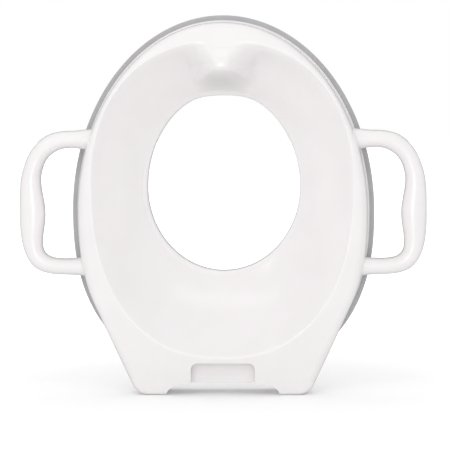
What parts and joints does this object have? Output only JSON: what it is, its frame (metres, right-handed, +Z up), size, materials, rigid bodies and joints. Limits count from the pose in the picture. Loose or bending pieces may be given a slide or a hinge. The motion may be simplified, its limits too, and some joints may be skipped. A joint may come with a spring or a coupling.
{
  "type": "potty training seat",
  "caption": "Child's training seat for a toilet: moulded oval shell with a raised splash guard, a closed grip handle on each side, feet for storing upright and a soft non-skid ring underneath.",
  "frame": {"origin": "bottom centre of the bounding box, on the floor that the seat stands on with its feet", "axes": "+X to the viewer's right across the seat, from one handle to the other; +Y away from the viewer, out of the side that lies on the toilet; +Z up, towards the splash guard"},
  "size_m": [0.381, 0.068, 0.3543],
  "materials": {
    "white_plastic": "smooth moulded polypropylene, semi-gloss, cool white",
    "grey_rubber": "matte soft thermoplastic rubber, light grey"
  },
  "bodies": {
    "root": {"seat_shell": "white_plastic", "non_skid_ring": "grey_rubber"}
  },
  "joints": []
}
